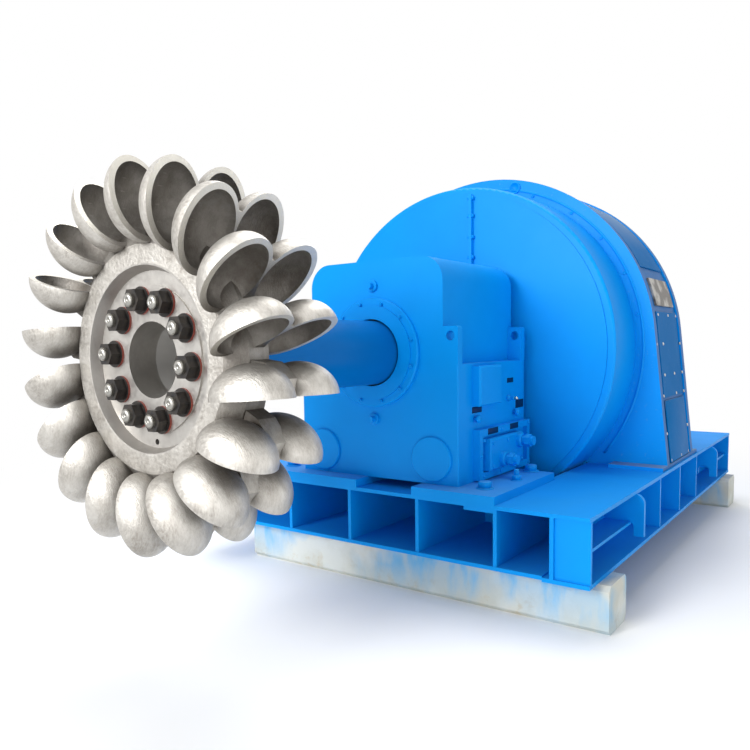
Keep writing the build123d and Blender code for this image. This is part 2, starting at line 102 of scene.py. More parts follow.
# %% A finish
class Finish:
    def __init__(self, name):
        self.material = bpy.data.materials.new(name)
        self.material.use_nodes = True
        self.tree = self.material.node_tree
        self.tree.nodes.clear()

    def node(self, kind, settings=None, inputs=None, out=0):
        made = self.tree.nodes.new(kind)
        for key, value in (settings or {}).items():
            if key == "stops":
                self.set_stops(made.color_ramp, value)
            else:
                setattr(made, key, value)
        for key, value in (inputs or {}).items():
            socket = made.inputs[key]
            if isinstance(value, Wire):
                self.tree.links.new(value.socket, socket)
            else:
                socket.default_value = value
        return Wire(self, made.outputs[out]) if made.outputs else None

    def set_stops(self, ramp, stops):
        while len(ramp.elements) < len(stops):
            ramp.elements.new(0.5)
        for element, (place, level) in zip(ramp.elements, stops):
            element.position = place
            element.color = grey(level)

    def sum(self, operation, first, second=0.0):
        return self.node("ShaderNodeMath", {"operation": operation}, {0: first, 1: second})

    def place(self):
        return self.node("ShaderNodeTexCoord", out="Object")

    def normal(self):
        return self.node("ShaderNodeTexCoord", out="Normal")

    def axis(self, vector, name):
        return self.node("ShaderNodeSeparateXYZ", inputs={0: vector}, out=name)

    def without_sign(self, value):
        return self.sum("ABSOLUTE", value)

    def radius(self, height):
        at = self.place()
        across = self.axis(at, "X")
        up = self.axis(at, "Z") - height
        return self.sum("SQRT", across * across + up * up)

    def inside(self, radius, edge):
        stops = (0.0, 0.0), (radius, 0.0), (radius + edge, 1.0)
        return 1.0 - self.ramp(self.radius(axis_z), *stops)

    def shade(self, reach):
        return self.node("ShaderNodeAmbientOcclusion", {"samples": 8}, {"Distance": reach}, "AO")

    def noise(self, scale, detail=3.0, roughness=0.5, stretch=None):
        at = self.place()
        if stretch:
            at = self.node(
                "ShaderNodeVectorMath", {"operation": "MULTIPLY"}, {0: at, 1: stretch}
            )
        return self.node(
            "ShaderNodeTexNoise",
            inputs={"Vector": at, "Scale": scale, "Detail": detail, "Roughness": roughness},
        )

    def ramp(self, value, *stops):
        return self.node("ShaderNodeValToRGB", {"stops": stops}, {0: value})

    def mix(self, factor, first, second):
        return self.node(
            "ShaderNodeMix", {"data_type": "RGBA"}, {0: factor, 6: first, 7: second}, out=2
        )

    def bump(self, height, strength, distance):
        return self.node(
            "ShaderNodeBump", inputs={"Height": height, "Strength": strength, "Distance": distance}
        )

    def close(self, **sockets):
        inputs = {key.replace("_", " "): value for key, value in sockets.items()}
        shader = self.node("ShaderNodeBsdfPrincipled", inputs=inputs)
        self.node("ShaderNodeOutputMaterial", inputs={"Surface": shader})
        return self.material


def grey(level):
    return (level, level, level, 1.0)


def opaque(colour):
    return tuple(colour) + (1.0,)


print("finish class ready, and mid grey is", grey(0.5))

# %% [markdown]
# The whole machine is sprayed in one azure enamel. Real spray work is never one flat colour: it
# is a little thinner here and there, paler on flat tops, and has a faint orange-peel texture.
# The paling follows the surface's own normal, so it lies on tops and leaves walls clean, and a few
# random pale specks lie everywhere. The sheet round the casing is given a deeper blue than its
# front and back plates as painted shade, since its flank lies in less light, so one enamel can
# take a second colour for the faces that look along the shaft.

# %% Azure enamel
def orange_peel(f):
    return f.bump(f.noise(420.0, 2.0, 0.5), 0.10, 0.0006)


def sprayed(f, cloud, colour, thin):
    return f.mix(cloud * 0.5, opaque(colour), opaque([thin * c for c in colour]))


def enamel(name, colour, pale_top_colour, top_paling=0.25, rough=0.36, gloss=0.11, face_colour=None):
    f = Finish(name)
    cloud = f.ramp(f.noise(1.7, 4.0, 0.6), (0.35, 0.0), (0.7, 1.0))
    speck = f.ramp(f.noise(38.0, 3.0, 0.6), (0.62, 0.0), (0.74, 1.0))
    # Up-facing faces turn towards a paler colour.
    flat_top = f.ramp(f.axis(f.normal(), "Z"), (0.55, 0.0), (0.98, 1.0))
    coat = sprayed(f, cloud, colour, 0.82)
    # Painted shade: faces that do not look along the shaft keep the darker base blue, which stands
    # for the less light on the casing's flank.
    if face_colour:
        facing = f.ramp(f.without_sign(f.axis(f.normal(), "Y")), (0.6, 0.0), (0.75, 1.0))
        coat = f.mix(facing, coat, sprayed(f, cloud, face_colour, 0.86))
    # Up-facing faces and a few random specks are mixed towards the paler colour.
    pale_tops_and_specks = (flat_top * (0.45 + 0.55 * cloud) + 0.12 * speck) * top_paling
    return f.close(
        Base_Color=f.mix(pale_tops_and_specks, coat, opaque(pale_top_colour)),
        Roughness=rough + 0.10 * cloud + 0.20 * flat_top,
        Normal=orange_peel(f),
        Specular_IOR_Level=gloss,
    )


AZURE = (0.0, 0.285, 0.800)
# Painted shade: this darker blue stands for the less light on the casing's flank.
SHADED_SHEET_BLUE = (0.0, 0.130, 0.40)
COVER_BLUE = (0.0, 0.145, 0.42)
azure = enamel("azure_enamel", AZURE, (0.05, 0.33, 0.66))
pale_topped_azure = enamel("pale_topped_azure_enamel", AZURE, (0.16, 0.34, 0.58), top_paling=0.4)
skin = enamel("casing_enamel", SHADED_SHEET_BLUE, (0.30, 0.38, 0.44), top_paling=0.8, face_colour=AZURE)
cover_paint = enamel(
    "cover_enamel", COVER_BLUE, (0.42, 0.48, 0.52), top_paling=0.85, rough=0.45, gloss=0.04
)
print("enamels:", azure.name, pale_topped_azure.name, skin.name, cover_paint.name)

# %% [markdown]
# The turbine shaft wears a deeper coat of the same enamel, but its hollow front end is bare grey
# metal. The bore is told apart by its distance from the shaft's axis, so no second mesh is needed.

# %% Shaft finish
SHAFT_BORE = 0.137
BORE_EDGE = 0.004


def shaft_finish():
    f = Finish("shaft_enamel")
    cloud = f.ramp(f.noise(2.2, 4.0, 0.6), (0.35, 0.0), (0.7, 1.0))
    coat = f.mix(cloud * 0.5, opaque((0.0, 0.145, 0.46)), opaque((0.0, 0.11, 0.36)))
    metal = f.mix(cloud, opaque((0.52, 0.51, 0.49)), opaque((0.36, 0.35, 0.34)))
    bore = f.inside(SHAFT_BORE, BORE_EDGE)
    return f.close(
        Base_Color=f.mix(bore, coat, metal),
        Metallic=0.35 * bore,
        Roughness=0.34 + 0.08 * cloud + 0.10 * bore,
        Normal=orange_peel(f),
        Specular_IOR_Level=0.12,
    )


shaft_paint = shaft_finish()
print("shaft:", shaft_paint.name)

# %% [markdown]
# The runner is cast and then ground by hand. Ground rims are bright, the cups are darkened with
# painted shade, and the turned hub is an even grey. Three masks tell them apart. The hub is what
# lies close to the axis. A cup is where little light gets in, and there the colour is painted darker
# as shade. A rim is the flat face round a cup: it looks along the turning direction, and its normal
# turns one eighteenth of a turn from each bucket to the next.

# %% Masks on the runner
BUCKETS = 18
BUCKET_PHASE = 19.8
BUCKET_TILT = 13.0
RIM_ANGLE = math.radians(BUCKET_PHASE - BUCKET_TILT)
HUB_RECESS = 0.329
HUB_EDGE = 0.006
CUP_SHADE = 0.20


def cup_painted_shade_mask(f, hub):
    # Painted shade: where ambient occlusion finds little light, the cup mask darkens the colour.
    return f.ramp(f.shade(CUP_SHADE), (0.35, 1.0), (0.92, 0.0)) * (1.0 - hub)


def rim_mask(f, painted_cup_shade):
    across, along, high = (f.axis(f.normal(), name) for name in "XYZ")
    turn = f.sum("ARCTAN2", 0.0 - high, across)
    place = f.place()
    spoke = f.sum("ARCTAN2", axis_z - f.axis(place, "Z"), f.axis(place, "X"))
    ahead = f.ramp(f.sum("SINE", turn - spoke), (0.78, 0.0), (0.84, 1.0))
    repeat = f.sum("COSINE", (turn - RIM_ANGLE) * BUCKETS)
    level = f.ramp(f.without_sign(along), (0.0, 1.0), (0.05, 1.0), (0.12, 0.0))
    return f.ramp(repeat, (0.955, 0.0), (0.985, 1.0)) * level * ahead * (1.0 - painted_cup_shade)


print("rim normals repeat every", 360 / BUCKETS, "degrees")

# %% [markdown]
# With the masks, the metal itself is layers: a cloudy base, pale swirls from the grinding disc,
# fine brush marks across the shaft's direction, and then the hub, the painted shade in the cups and
# the rims. The bump uses the same layers, so marks and light agree, and is weak on the turned hub.

# %% Cast and ground metal
def cast_metal():
    f = Finish("ground_casting")
    hub = f.inside(HUB_RECESS, HUB_EDGE)
    painted_cup_shade = cup_painted_shade_mask(f, hub)
    rim = rim_mask(f, painted_cup_shade)
    cloud = f.ramp(f.noise(6.0, 5.0, 0.6), (0.32, 0.0), (0.70, 1.0))
    streak = f.noise(22.0, 4.0, 0.65, stretch=(1.0, 5.0, 1.0))
    swirl = f.ramp(f.noise(9.0, 6.0, 0.75, stretch=(1.0, 2.2, 1.0)), (0.42, 0.0), (0.62, 1.0))
    grain = f.noise(260.0, 2.0, 0.6)
    brush = f.ramp(f.noise(70.0, 3.0, 0.6, stretch=(1.0, 6.0, 1.0)), (0.38, 0.0), (0.62, 1.0))
    tone = f.mix(cloud, opaque((0.52, 0.495, 0.455)), opaque((0.30, 0.275, 0.245)))
    tone = f.mix(0.6 * swirl, tone, opaque((0.66, 0.64, 0.60)))
    tone = f.mix(0.35 * brush, tone, opaque((0.72, 0.70, 0.66)))
    tone = f.mix(0.7 * hub, tone, opaque((0.42, 0.405, 0.385)))
    # Painted shade: the cups are darkened to a near-black brown.
    tone = f.mix(painted_cup_shade * (0.62 + 0.36 * cloud), tone, opaque((0.080, 0.066, 0.052)))
    tone = f.mix(0.85 * rim, tone, opaque((0.80, 0.77, 0.69)))
    height = (0.6 * streak + 0.25 * grain + 0.5 * swirl + 0.3 * brush) * (1.0 - 0.8 * hub)
    return f.close(
        Base_Color=tone,
        Metallic=1.0 - 0.3 * painted_cup_shade,
        Roughness=0.37 + 0.14 * cloud + 0.10 * brush + 0.10 * painted_cup_shade,
        Normal=f.bump(height, 0.38, 0.0038),
    )


casting = cast_metal()
print("casting:", casting.name)

# %% [markdown]
# Nuts are black-oxide steel, oily and slightly brown. The studs' ends are bare, and the washers
# wear red-brown primer. All three are one node, so the finish changes with the distance along the
# shaft, counted back from the face that the washers lie on.

# %% Bolt metals
NUT_FRONT = 0.0482
WASHER_FRONT = 0.0079


def bolt_cloud(f):
    return f.ramp(f.noise(55.0, 4.0, 0.6), (0.35, 0.0), (0.70, 1.0))


def bolt_grain(f):
    return f.bump(f.noise(300.0), 0.12, 0.0006)


def bolt_metal(name, colour, rough):
    f = Finish(name)
    cloud = bolt_cloud(f)
    return f.close(
        Base_Color=f.mix(0.5 * cloud, opaque(colour), opaque([0.6 * c + 0.02 for c in colour])),
        Metallic=1.0,
        Roughness=rough + 0.15 * cloud,
        Normal=bolt_grain(f),
    )


def nut_finish():
    f = Finish("runner_bolt_finish")
    bolted_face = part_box("runner_nuts")[1].y
    cloud = bolt_cloud(f)
    depth = f.axis(f.place(), "Y")
    stud = f.sum("LESS_THAN", depth, bolted_face - NUT_FRONT)
    washer = f.sum("GREATER_THAN", depth, bolted_face - WASHER_FRONT)
    black = f.mix(cloud, opaque((0.030, 0.029, 0.030)), opaque((0.055, 0.046, 0.038)))
    tone = f.mix(stud, black, opaque((0.34, 0.33, 0.30)))
    tone = f.mix(washer, tone, opaque((0.24, 0.045, 0.030)))
    return f.close(
        Base_Color=tone,
        Metallic=0.6 + 0.4 * stud - 0.5 * washer,
        Roughness=0.33 + 0.15 * cloud + 0.15 * washer,
        Normal=bolt_grain(f),
    )


bright_steel = bolt_metal("bare_steel", (0.62, 0.61, 0.58), 0.28)
bush_metal = bolt_metal("bearing_metal", (0.60, 0.48, 0.30), 0.35)
nuts = nut_finish()
print("bolt metals:", bright_steel.name, bush_metal.name, nuts.name)

# %% [markdown]
# The sleepers are rough blocks, pale with cement dust, with a haze of blue overspray where the
# base stands on them and ochre scuffs low down.

# %% Sleeper
def sleeper_finish():
    f = Finish("sleeper_block")
    cloud = f.ramp(f.noise(2.6, 5.0, 0.6), (0.40, 0.0), (0.58, 1.0))
    high = f.ramp(f.axis(f.place(), "Z"), (0.02, 0.0), (0.20, 1.0))
    patch = f.ramp(f.noise(3.1, 2.5, 0.5), (0.44, 0.0), (0.57, 1.0))
    drips = f.ramp(f.noise(9.0, 4.0, 0.6, stretch=(1.0, 1.0, 0.3)), (0.45, 0.0), (0.62, 1.0))
    scuff = f.ramp(f.noise(11.0, 5.0, 0.7), (0.56, 0.0), (0.66, 1.0))
    pits = f.noise(140.0, 4.0, 0.7)
    tone = f.mix(cloud, opaque((0.66, 0.68, 0.64)), opaque((0.56, 0.56, 0.49)))
    tone = f.mix(0.5 * scuff * (1.0 - high), tone, opaque((0.50, 0.40, 0.24)))
    spray = patch * (0.25 + 0.75 * high) * (0.45 + 0.55 * drips)
    return f.close(
        Base_Color=f.mix(0.95 * spray, tone, opaque((0.03, 0.40, 0.76))),
        Roughness=0.82 + 0.1 * cloud,
        Normal=f.bump(pits + 0.6 * cloud, 0.35, 0.003),
    )


sleeper = sleeper_finish()
print("sleeper:", sleeper.name)

# %% [markdown]
# The window on the casing is a dull metal plate with pale reflections and nothing on it, and the
# small label plates on the housing are left bare and dark.

# %% Plates
def window_finish():
    f = Finish("window_plate_metal")
    cloud = f.ramp(f.noise(9.0, 3.0, 0.5), (0.48, 0.0), (0.62, 1.0))
    grain = f.noise(120.0, 3.0, 0.7)
    return f.close(
        Base_Color=f.mix(cloud, opaque((0.13, 0.115, 0.10)), opaque((0.46, 0.44, 0.40))),
        Metallic=0.55,
        Roughness=0.30 + 0.2 * grain,
        Normal=f.bump(grain, 0.15, 0.0008),
    )


window_metal = window_finish()
label_metal = enamel("label_plate", (0.0, 0.022, 0.085), (0.02, 0.05, 0.12), top_paling=0.2)
print("plates:", window_metal.name, label_metal.name)

# %% [markdown]
# Almost every node wears the azure, so all get it first, and then the few that differ get their
# own. Each node has one material. Where paint and bare metal meet on one, a mask tells them apart.

# %% Give each node its finish
def paint(material, *nodes):
    for node in nodes:
        mesh = frame["nodes"][node].data
        mesh.materials.clear()
        mesh.materials.append(material)


paint(azure, *frame["nodes"])
paint(pale_topped_azure, *[node for node in frame["nodes"] if node.startswith("sole_pad")])
paint(cover_paint, "top_panel_right", "top_panel_left", "side_panel_right", "side_panel_left")
paint(window_metal, "window_cover_right", "window_cover_left")
paint(sleeper, "sleeper_front", "sleeper_rear")
paint(bush_metal, "bearing_bush_front", "bearing_bush_rear")
paint(skin, "generator_casing")
paint(shaft_paint, "main_shaft")
paint(casting, "pelton_runner")
paint(nuts, "runner_nuts")
print("painted", len(frame["nodes"]), "nodes")

# %% [markdown]
# Curved solids arrive as many flat facets. Smoothing by angle keeps real edges sharp and lets
# the round skins catch light as curves. It is a modifier, so the solid itself stays as it is.

# %% Smooth the round solids
NODE_ANGLE = 32.0
FITTING_ANGLE = 30.0


def smooth(piece, angle):
    for polygon in piece.data.polygons:
        polygon.use_smooth = True
    bpy.context.view_layer.objects.active = piece
    piece.select_set(True)
    bpy.ops.object.shade_auto_smooth(angle=math.radians(angle))
    piece.select_set(False)


for piece in frame["nodes"].values():
    smooth(piece, NODE_ANGLE)
print("smoothed", len(frame["nodes"]), "nodes by", NODE_ANGLE, "degrees")

# %% [markdown]
# Screws, nuts and plugs are too small for the solid model, but they give the eye its scale. Each
# is a turned profile: rings of points along an axis, joined into a closed shell. Six points a
# ring make a hexagon head, and more make a round one. Each starts a little under the surface. The
# size of a screw or bolt is a pair: the radius of its head and the head's height.

# %% Turned shapes
SUNK = 0.003


def join_rings(shape, low, high):
    for step in range(len(low)):
        after = (step + 1) % len(low)
        shape.faces.new((low[step], low[after], high[after], high[step]))


def turned(shape, at, axis, profile, sides=20):
    axis = Vector(axis).normalized()
    first = axis.orthogonal().normalized()
    second = axis.cross(first)
    rings = []
    for along, radius in profile:
        ring = []
        for step in range(sides):
            angle = math.tau * step / sides
            out = first * math.cos(angle) + second * math.sin(angle)
            ring.append(shape.verts.new(Vector(at) + axis * along + out * radius))
        rings.append(ring)
    for low, high in zip(rings, rings[1:]):
        join_rings(shape, low, high)
    shape.faces.new(rings[0][::-1])
    shape.faces.new(rings[-1])


def hex_head(shape, at, axis, radius, height):
    turned(shape, at, axis, [(-SUNK, radius * 1.25), (0.14 * height, radius * 1.25)])
    profile = [(0.14 * height, radius), (0.86 * height, radius), (height, 0.87 * radius)]
    turned(shape, at, axis, profile, sides=6)


def round_head(shape, at, axis, radius, height):
    profile = [(-SUNK, radius), (0.55 * height, radius), (0.9 * height, 0.86 * radius)]
    turned(shape, at, axis, profile + [(height, 0.55 * radius), (0.7 * height, 0.45 * radius)])


print("a round head starts", SUNK * 1000, "mm under the surface")

# %% [markdown]
# Label plates and closing plates are thin, with a soft bevel: the outline goes back into the wall
# and forward to a rim, and the face is pulled in towards the middle. Every small part becomes a
# piece in the same way: it is built as a mesh, smoothed, and tied to the body that it moves with.

# %% Thin plates and the maker of small parts
def plate(shape, corners, out, thickness, edge):
    out = Vector(out).normalized() * thickness
    middle = sum((Vector(c) for c in corners), Vector()) / len(corners)
    back = [shape.verts.new(Vector(c) - out) for c in corners]
    rim = [shape.verts.new(Vector(c) + 0.6 * out) for c in corners]
    pulled = [Vector(c) + (middle - Vector(c)).normalized() * edge + out for c in corners]
    face = [shape.verts.new(c) for c in pulled]
    join_rings(shape, back, rim)
    join_rings(shape, rim, face)
    shape.faces.new(back[::-1])
    shape.faces.new(face)


def fitting(name, build, body, material):
    mesh = bpy.data.meshes.new(name)
    shape = bmesh.new()
    build(shape)
    bmesh.ops.recalc_face_normals(shape, faces=shape.faces)
    shape.to_mesh(mesh)
    shape.free()
    piece = bpy.data.objects.new(name, mesh)
    bpy.context.scene.collection.objects.link(piece)
    mesh.materials.append(material)
    smooth(piece, FITTING_ANGLE)
    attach(piece, body)
    print(name, "has", len(mesh.polygons), "faces")


print("small parts are smoothed by", FITTING_ANGLE, "degrees")

# %% [markdown]
# Each stud on the runner ends in a turned dome with the centre hole that the lathe needed. The
# ten domes turn with the runner, so they ride on the rotor.

# %% Stud ends
STUDS = 10
STUD_PHASE = 24.0
STUD_CIRCLE = 0.215
STUD_DOME = [(-SUNK, 0.0225), (0.0005, 0.0225), (0.004, 0.020), (0.006, 0.015), (0.0065, 0.0085)]
CENTRE_HOLE = [(0.0045, 0.0075), (0.0008, 0.0065)]


def on_circle(radius, degrees, y):
    angle = math.radians(degrees)
    return (radius * math.sin(angle), y, axis_z + radius * math.cos(angle))


def stud_ends(shape):
    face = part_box("runner_nuts")[0].y
    for step in range(STUDS):
        at = on_circle(STUD_CIRCLE, STUD_PHASE + 360.0 * step / STUDS, face)
        turned(shape, at, AHEAD, STUD_DOME + CENTRE_HOLE, sides=24)


stud_metal = bolt_metal("stud_end_metal", (0.42, 0.41, 0.38), 0.30)
fitting("stud_ends", stud_ends, "rotor", stud_metal)

# %% [markdown]
# The housings stand on heavy sole pads. Two large hexagon bolts and one stud with its nut hold
# each side of a pad down, outside the housing's foot where a spanner can reach. The rear housing's
# bolts mirror the front one's about the middle of the base.

# %% Sole pad bolts
SOLE_SCREWS = [(0.600, 0.149), (0.600, 0.679)]
SOLE_STUD = (0.641, 0.408)
SOLE_SCREW_SIZE = (0.0335, 0.034)
SOLE_NUT_SIZE = (0.024, 0.026)
STUD_PROFILE = [(0.0, 0.013), (0.052, 0.013), (0.055, 0.011)]


def sole_bolts(shape):
    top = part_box("sole_pad_front_right")[1].z
    for side in (1, -1):
        for end in (1, -1):
            for x, y in SOLE_SCREWS + [SOLE_STUD]:
                at = (side * x, middle_y + end * (front_y + y - middle_y), top)
                if (x, y) == SOLE_STUD:
                    hex_head(shape, at, UP, *SOLE_NUT_SIZE)
                    turned(shape, at, UP, STUD_PROFILE, sides=16)
                else:
                    hex_head(shape, at, UP, *SOLE_SCREW_SIZE)


fitting("sole_bolts", sole_bolts, "stator_frame", pale_topped_azure)

# %% [markdown]
# The drum's end plate is made in two halves, and bolts go right through their seam flange. Each
# bolt shows a head on one side and a nut on the other.

# %% Seam bolts
SEAM_HEIGHTS = (1.751, 1.630, 1.514)
TOP_BOLT_DROP = 0.020
SEAM_BOLT_SIZE = (0.0115, 0.010)


def seam_bolts(shape):
    low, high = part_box("drum_seam_flange")
    y = (low.y + high.y) / 2.0
    for z in [high.z - TOP_BOLT_DROP] + [base_z + height for height in SEAM_HEIGHTS]:
        hex_head(shape, (high.x, y, z), RIGHT, *SEAM_BOLT_SIZE)
        hex_head(shape, (low.x, y, z), -RIGHT, *SEAM_BOLT_SIZE)


fitting("seam_bolts", seam_bolts, "stator_frame", azure)

# %% [markdown]
# The seal ring round the shaft is held by a ring of small screws. They sit just inside its edge,
# and the runner hides most of them from the front.

# %% Seal ring screws
SEAL_SCREWS = 12
SEAL_PHASE = 15.5
SEAL_CIRCLE = 0.248
SEAL_SCREW_SIZE = (0.0085, 0.007)


def seal_screws(shape):
    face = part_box("seal_ring_front")[0].y
    for step in range(SEAL_SCREWS):
        at = on_circle(SEAL_CIRCLE, SEAL_PHASE + 360.0 * step / SEAL_SCREWS, face)
        round_head(shape, at, AHEAD, *SEAL_SCREW_SIZE)


fitting("seal_screws", seal_screws, "stator_frame", azure)

# %% [markdown]
# Grease knobs and a bright-tipped nozzle stand on the housing's flank, next to the oil pipes. Each
# is one turned profile, wider or narrower where the real one was turned down.

# %% Knobs and nozzle
KNOBS = ((0.273, 0.648), (0.721, 0.643))
KNOB_PROFILE = [(-SUNK, 0.011), (0.012, 0.011), (0.014, 0.018), (0.026, 0.019), (0.032, 0.015)]
NOZZLE = (0.646, 0.724)
NOZZLE_PROFILE = [
    (-SUNK, 0.017), (0.010, 0.017), (0.012, 0.010), (0.030, 0.009), (0.032, 0.012), (0.040, 0.012),
]
TIP_START = 0.0395
TIP_PROFILE = [(0.0, 0.0085), (0.014, 0.0085), (0.018, 0.006)]


def on_flank(y, z, x):
    return Vector((x, front_y + y, base_z + z))


def knobs(shape):
    for y, z in KNOBS:
        turned(shape, on_flank(y, z, housing_x), RIGHT, KNOB_PROFILE, sides=24)
    turned(shape, on_flank(*NOZZLE, housing_x), RIGHT, NOZZLE_PROFILE)


def nozzle_tip(shape):
    turned(shape, on_flank(*NOZZLE, housing_x + TIP_START), RIGHT, TIP_PROFILE)


fitting("grease_knobs", knobs, "stator_frame", azure)
fitting("nozzle_tip", nozzle_tip, "stator_frame", bright_steel)

# %% [markdown]
# Five bare label plates mark the housing: three on its flank and two on the service cover. They
# are thin and dark, and the soft bevel lets their edge catch a line of light.

# %% Label plates
cover_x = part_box("service_cover")[1].x
LABEL_THICKNESS = 0.0022
LABEL_BEVEL = 0.003
LABELS = [
    (housing_x, 0.247, 0.347, 0.676, 0.706),
    (housing_x, 0.744, 0.843, 0.662, 0.706),
    (housing_x, 0.638, 0.713, 0.804, 0.829),
    (cover_x, 0.341, 0.452, 0.564, 0.594),
    (cover_x, 0.594, 0.693, 0.564, 0.594),
]


def label_plates(shape):
    for x, y0, y1, z0, z1 in LABELS:
        spots = [(y0, z0), (y1, z0), (y1, z1), (y0, z1)]
        corners = [on_flank(y, z, x) for y, z in spots]
        plate(shape, corners, RIGHT, LABEL_THICKNESS, LABEL_BEVEL)


fitting("label_plates", label_plates, "stator_frame", label_metal)

# %% [markdown]
# The service cover and the oil flange are screwed on. Their screws are sprayed over, so they show
# only as small domes with a shadow in the middle.

# %% Cover screws
COVER_SCREWS = [
    (0.273, 0.466), (0.300, 0.363), (0.487, 0.363), (0.660, 0.363), (0.828, 0.363),
    (0.300, 0.540), (0.498, 0.578), (0.828, 0.466), (0.828, 0.578),
]
FLANGE_SCREWS = [(y, z) for y in (0.352, 0.517, 0.683) for z in (0.407, 0.523)]
COVER_SCREW_SIZE = (0.0095, 0.006)
FLANGE_SCREW_SIZE = (0.0105, 0.007)


def cover_screws(shape):
    for y, z in COVER_SCREWS:
        round_head(shape, on_flank(y, z, cover_x), RIGHT, *COVER_SCREW_SIZE)
    flange_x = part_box("oil_flange")[1].x
    for y, z in FLANGE_SCREWS:
        round_head(shape, on_flank(y, z, flange_x), RIGHT, *FLANGE_SCREW_SIZE)


fitting("cover_screws", cover_screws, "stator_frame", azure)

# %% [markdown]
# The casing's skin is held by rows of bright screws. They follow the flank, which leans in a
# little, and then the round of the casing, so one function gives the point on the skin and the
# direction that it faces. Each row is a height and the depths of its screws.

# %% Casing screws
CASING_RADIUS = 1.042
FLANK_LEAN = 0.1094
FLANK_FOOT_X = 1.122
FLANK_FOOT_Z = 0.300
FLANK_TOP_Z = 1.088
AXIS_ABOVE_BASE = axis_z - base_z
SKIN = 0.007
SKIN_SCREW_SIZE = (0.0085, 0.005)
SKIN_SCREWS = [
    (1.158, (1.434, 1.657, 1.846)), (0.992, (1.340, 1.480, 1.881)),
    (0.816, (1.451, 1.676, 1.871)), (0.700, (1.385, 1.679, 1.870)),
    (0.490, (1.374, 1.880)), (0.335, (1.420, 1.653, 1.835)),
]


def skin_point(y, z, side):
    if z < FLANK_TOP_Z:
        x = FLANK_FOOT_X - (z - FLANK_FOOT_Z) * FLANK_LEAN
        out = Vector((1.0, 0.0, FLANK_LEAN)).normalized()
    else:
        rise = z - AXIS_ABOVE_BASE
        x = math.sqrt(CASING_RADIUS ** 2 - rise ** 2)
        out = Vector((x, 0.0, rise)).normalized()
    at = Vector((x, front_y + y, base_z + z)) + out * SKIN
    return Vector((side * at.x, at.y, at.z)), Vector((side * out.x, out.y, out.z))


def skin_screws(shape):
    for side in (1, -1):
        for z, places in SKIN_SCREWS:
            for y in places:
                at, out = skin_point(y, z, side)
                round_head(shape, at, out, *SKIN_SCREW_SIZE)


fitting("skin_screws", skin_screws, "stator_frame", bright_steel)

# %% [markdown]
# A thin plate closes the lower opening on each side of the casing. Its corners are points on the
# leaning flank, so it lies flat on the skin.

# %% Lower plates
PLATE_Y = (1.402, 1.851)
PLATE_Z = (0.322, 0.672)
PLATE_THICKNESS = 0.004
PLATE_BEVEL = 0.004


def lower_plates(shape):
    for side in (1, -1):
        spots = [(y, PLATE_Z[0]) for y in PLATE_Y] + [(y, PLATE_Z[1]) for y in reversed(PLATE_Y)]
        corners = [skin_point(y, z, side)[0] for y, z in spots]
        out = skin_point(PLATE_Y[0], PLATE_Z[0], side)[1]
        plate(shape, corners, out, PLATE_THICKNESS, PLATE_BEVEL)


fitting("lower_plates", lower_plates, "stator_frame", cover_paint)

# %% [markdown]
# A thin ring plate is welded on the casing's front face, all the way round the drum above the
# deck. A small rectangular section is swept along an arc, because a full ring would cut the deck.

# %% Casing ring
CASING_DEPTH = 1.312
casing_front = front_y + CASING_DEPTH
RING_INNER = 0.985
RING_OUTER = 0.999
RING_PROUD = 0.004
RING_REACH = math.radians(128.0)
RING_STEPS = 72


def casing_ring(shape):
    section = (
        (RING_INNER, -SUNK), (RING_INNER, RING_PROUD), (RING_OUTER, RING_PROUD), (RING_OUTER, -SUNK)
    )
    centre = Vector((0.0, casing_front, axis_z))
    rings = []
    for step in range(RING_STEPS + 1):
        angle = -RING_REACH + 2.0 * RING_REACH * step / RING_STEPS
        out = Vector((math.sin(angle), 0.0, math.cos(angle)))
        rings.append([shape.verts.new(centre + out * r + AHEAD * lift) for r, lift in section])
    for low, high in zip(rings, rings[1:]):
        join_rings(shape, low, high)
    shape.faces.new(rings[0][::-1])
    shape.faces.new(rings[-1])


fitting("casing_ring", casing_ring, "stator_frame", azure)

# %% [markdown]
# The casing's front face carries small round heads near its rim and one lifting boss.

# %% Casing face screws and boss
FACE_CIRCLE = 0.975
FACE_ANGLES = (20.0, 36.0, 50.0, 64.5, 79.0)
FACE_SCREW_SIZE = (0.011, 0.007)
BOSS = (0.218, 1.956)
BOSS_PROFILE = [(-SUNK, 0.036), (0.008, 0.036), (0.010, 0.033), (0.010, 0.028), (0.002, 0.026)]


def face_screws(shape):
    for degrees in FACE_ANGLES:
        for side in (1, -1):
            at = on_circle(FACE_CIRCLE, side * degrees, casing_front)
            round_head(shape, at, AHEAD, *FACE_SCREW_SIZE)
    turned(shape, (BOSS[0], casing_front, base_z + BOSS[1]), AHEAD, BOSS_PROFILE, sides=28)


fitting("face_screws", face_screws, "stator_frame", azure)

# %% [markdown]
# The camera stands where the photograph's camera stood. Its place and lens were worked out from
# the straight edges of the base and the circles of the casing, so edges meet the photograph's.
# The focal length and the optical centre are in pixels of the photograph, and the lens and its
# shift are worked out from them.

# %% Camera
EYE = (2.0770, front_y - 2.7762, base_z + 1.0184)
YAW, PITCH, ROLL = 0.63946, -0.085208, -0.016133
PHOTO_PIXELS = 750.0
FOCAL_PIXELS = 701.54
CENTRE_PIXELS = (363.52, 404.22)
SENSOR = 36.0

level = Vector((-math.sin(YAW), math.cos(YAW), 0.0))
side = Vector((math.cos(YAW), math.sin(YAW), 0.0))
ahead = level * math.cos(PITCH) + UP * math.sin(PITCH)
above = -level * math.sin(PITCH) + UP * math.cos(PITCH)
right = side * math.cos(ROLL) + above * math.sin(ROLL)
up = -side * math.sin(ROLL) + above * math.cos(ROLL)
turn = Matrix((right, up, -ahead)).transposed()

